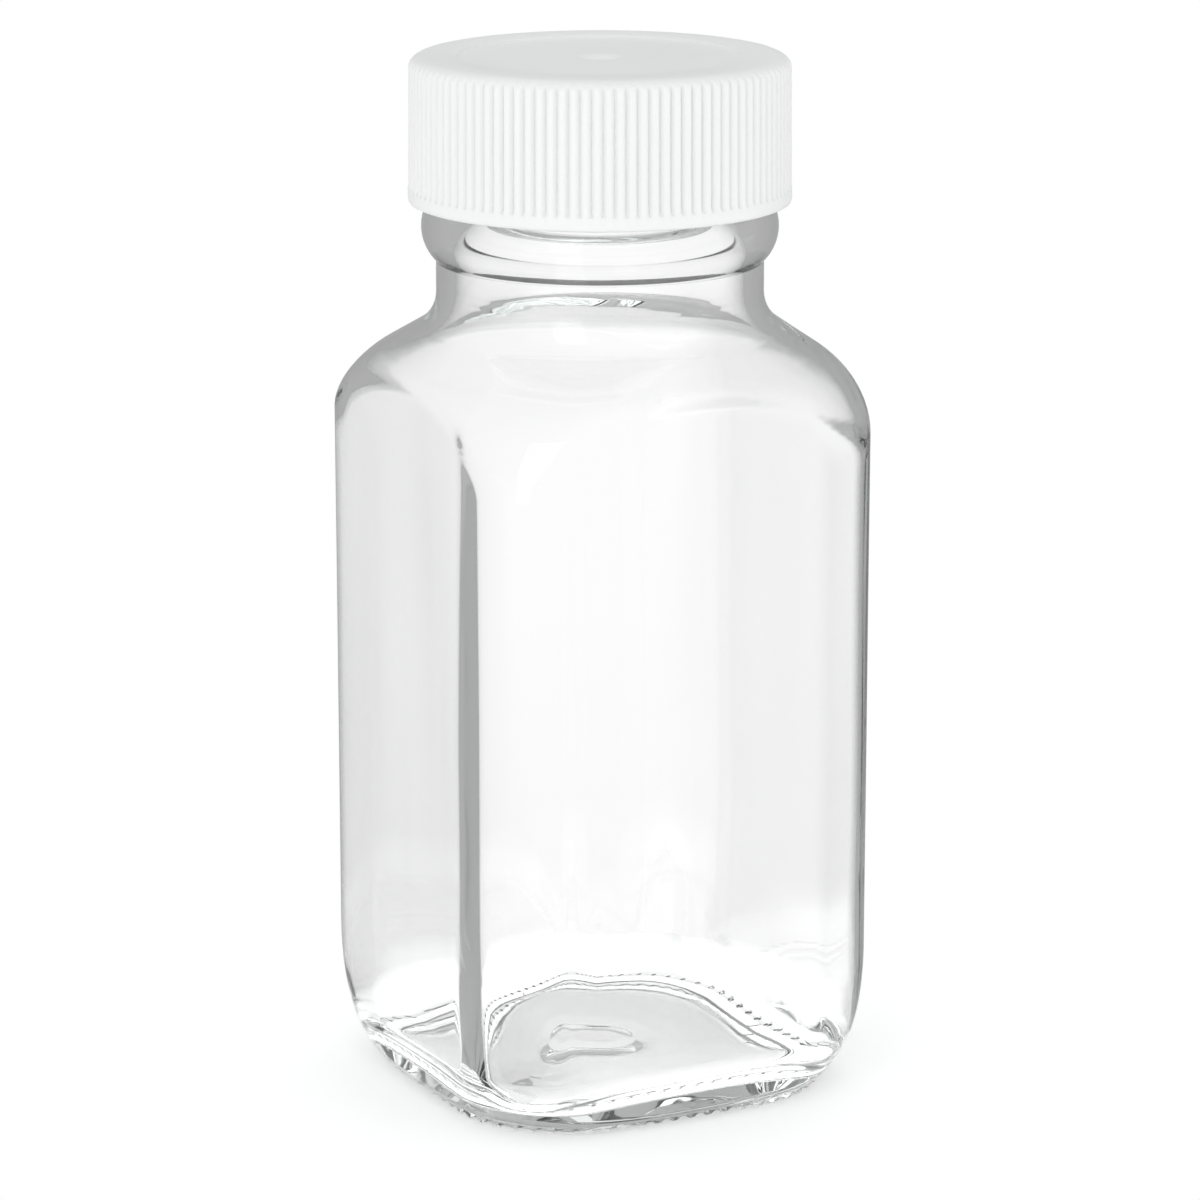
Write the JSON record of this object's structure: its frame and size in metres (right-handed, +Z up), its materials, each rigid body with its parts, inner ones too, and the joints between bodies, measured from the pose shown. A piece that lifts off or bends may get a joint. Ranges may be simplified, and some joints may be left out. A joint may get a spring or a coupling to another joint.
{
  "type": "french square glass bottle",
  "caption": "Clear glass bottle with a square rounded body, round neck and threaded finish, closed by a ribbed white screw cap with a foam liner.",
  "frame": {"origin": "middle of the base, on the surface that the bottle stands on", "axes": "+Z up through the neck and cap, the four flat panels face +X, -X, +Y and -Y"},
  "size_m": [0.0548, 0.0548, 0.1265],
  "materials": {
    "clear_glass": "clear polished glass",
    "cap_plastic": "fine satin moulded polypropylene",
    "liner_foam": "matte foam disc"
  },
  "bodies": {
    "glass": {"bottle": "clear_glass"},
    "liner": {"cap_liner": "liner_foam"},
    "cap": {"cap": "cap_plastic"}
  },
  "joints": [
    {"name": "cap_lift", "type": "slide", "parent": "glass", "child": "liner", "axis": [0, 0, 1], "range_m": [0, 0.02117]},
    {"name": "cap_turn", "type": "hinge", "parent": "liner", "child": "cap", "pos_m": [0, 0, 0.1176], "axis": [0, 0, 1], "range_deg": [0, 1800]}
  ],
  "couplings": [
    {"joint": "cap_lift", "follows": "cap_turn", "m_per_rad": 0.0006737}
  ]
}
